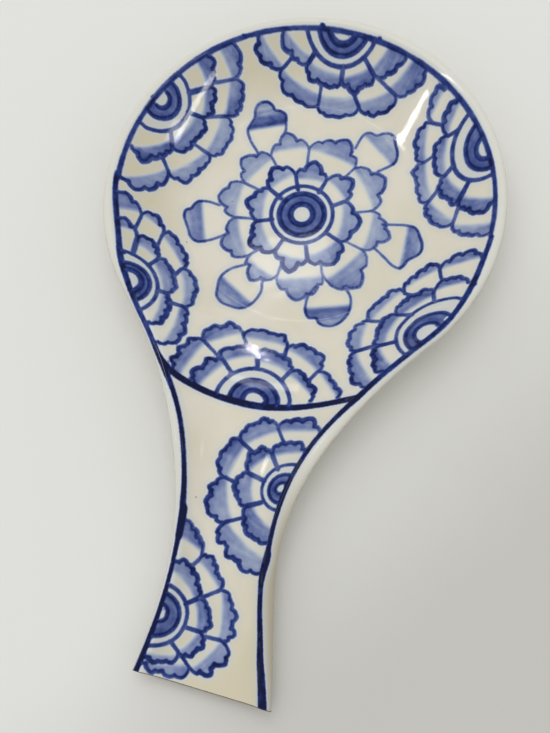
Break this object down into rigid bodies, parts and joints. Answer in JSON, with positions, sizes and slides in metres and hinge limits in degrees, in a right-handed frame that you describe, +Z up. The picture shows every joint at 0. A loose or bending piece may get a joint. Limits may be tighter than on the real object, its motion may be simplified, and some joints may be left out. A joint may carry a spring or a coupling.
{
  "type": "spoon rest",
  "caption": "Round shallow glazed ceramic dish on a low foot ring, running out into a flared open-ended trough that carries a cooking spoon's handle.",
  "frame": {"origin": "centre of the foot ring's flat sole, on the table", "axes": "+Z up; -Y along the handle, from the dish towards its cut end; +X to the right of someone looking from the cut end to the dish"},
  "size_m": [0.14, 0.2394, 0.023],
  "materials": {
    "fired_clay": "matte",
    "bare_foot": "matte",
    "cream_glaze": "gloss"
  },
  "bodies": {
    "root": {"dish_body": "fired_clay", "handle_trough": "fired_clay", "foot_ring": "bare_foot", "glaze_coat": "cream_glaze"}
  },
  "joints": []
}
